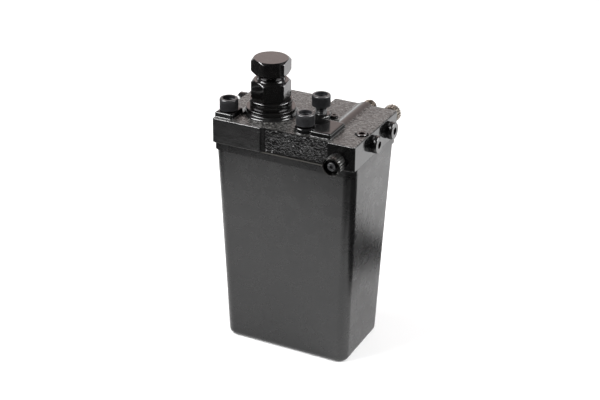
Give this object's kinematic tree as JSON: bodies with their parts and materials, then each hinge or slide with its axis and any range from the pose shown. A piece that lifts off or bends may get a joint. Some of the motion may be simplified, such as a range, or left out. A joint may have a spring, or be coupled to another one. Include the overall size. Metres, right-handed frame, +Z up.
{
  "type": "hydraulic hand pump",
  "caption": "Hand pump for cab tilt: black cast valve block on a tapered oil tank, rocked by a wrench on its top hexagon, with a selector knob and rear tube ports.",
  "frame": {"origin": "centre of the tank's flat underside", "axes": "+Z up along the tank, +X to the right along the front, +Y to the rear, out of the tube ports"},
  "size_m": [0.1447, 0.1145, 0.265],
  "materials": {
    "cast_black": "gloss black paint over rough cast iron",
    "tank_black": "satin black powder coat",
    "black_oxide": "gloss black oxide on turned and milled steel",
    "phosphate_steel": "dark grey phosphate",
    "port_steel": "dull zinc-nickel plate",
    "knob_metal": "black oxide with bright worn edges",
    "screw_steel": "plain satin steel",
    "machined_steel": "ground and turned steel",
    "spring_steel": "drawn spring wire",
    "bronze": "turned bronze",
    "valve_brass": "turned brass",
    "strainer_mesh": "woven wire mesh",
    "seal_rubber": "matt black nitrile",
    "gasket_fibre": "dark compressed fibre"
  },
  "bodies": {
    "pump_body": {"barrel_gallery_plug": "machined_steel", "barrel_screws": "phosphate_steel", "bleed_plug": "black_oxide", "bracket_screws": "phosphate_steel", "cartridge_o_ring": "seal_rubber", "filler_plug": "black_oxide", "gallery_plugs": "black_oxide", "gland_nut": "black_oxide", "gland_o_ring": "seal_rubber", "gland_seal_washer": "black_oxide", "gland_spacer_ring": "black_oxide", "guide_screws": "phosphate_steel", "lift_port_fitting": "port_steel", "outlet_spring": "spring_steel", "plug_seals": "seal_rubber", "plunger_guide": "machined_steel", "port_seals": "seal_rubber", "pump_barrel": "machined_steel", "relief_set_screw": "black_oxide", "relief_spring": "spring_steel", "reservoir_tank": "tank_black", "return_port_fitting": "port_steel", "return_tube": "machined_steel", "selector_cartridge": "knob_metal", "shaft_bush": "bronze", "shaft_lip_seal": "seal_rubber", "shaft_wiper": "seal_rubber", "suction_ball_stop": "valve_brass", "suction_strainer": "strainer_mesh", "suction_tube": "machined_steel", "suction_valve_body": "valve_brass", "tank_anchor_boss": "tank_black", "tank_gasket": "gasket_fibre", "tank_tie_bolt": "phosphate_steel", "thrust_washer": "machined_steel", "tie_bolt_washer": "seal_rubber", "valve_block": "cast_black"},
    "drive_shaft": {"pump_shaft": "black_oxide", "crank_disc": "machined_steel", "crank_pin": "machined_steel", "crank_dowel": "machined_steel", "crank_screw": "phosphate_steel"},
    "plunger_slide_body": {"plunger": "machined_steel", "plunger_seal": "seal_rubber"},
    "selector": {"selector_spindle": "screw_steel", "selector_knob": "knob_metal", "knob_screw": "phosphate_steel", "knob_washer": "black_oxide", "spindle_o_ring": "seal_rubber"},
    "suction_check": {"suction_ball": "machined_steel"},
    "outlet_check": {"outlet_ball": "machined_steel"},
    "relief_check": {"relief_ball": "machined_steel"}
  },
  "joints": [
    {"name": "shaft_rock", "type": "hinge", "parent": "pump_body", "child": "drive_shaft", "pos_m": [-0.0274, -0.012, 0.2], "axis": [0, 0, 1], "range_deg": [-30, 30]},
    {"name": "plunger_stroke", "type": "slide", "parent": "pump_body", "child": "plunger_slide_body", "axis": [1, 0, 0], "range_m": [-0.0062, 0.0062]},
    {"name": "selector_turn", "type": "hinge", "parent": "pump_body", "child": "selector", "pos_m": [0.052, -0.04, 0.2005], "axis": [0, -1, 0], "range_deg": [0, 90]},
    {"name": "suction_lift", "type": "slide", "parent": "pump_body", "child": "suction_check", "axis": [0, 0, 1], "range_m": [0, 0.001]},
    {"name": "outlet_lift", "type": "slide", "parent": "pump_body", "child": "outlet_check", "axis": [0, 0, 1], "range_m": [0, 0.0012], "stiffness_N_per_m": 100, "springref_m": -0.002, "deforming": ["outlet_spring"]},
    {"name": "relief_lift", "type": "slide", "parent": "pump_body", "child": "relief_check", "axis": [0, 0, 1], "range_m": [0, 0.0008], "stiffness_N_per_m": 500, "springref_m": -0.002, "deforming": ["relief_spring"]}
  ],
  "couplings": [
    {"joint": "plunger_stroke", "follows": "shaft_rock", "m_per_rad": 0.01158}
  ]
}
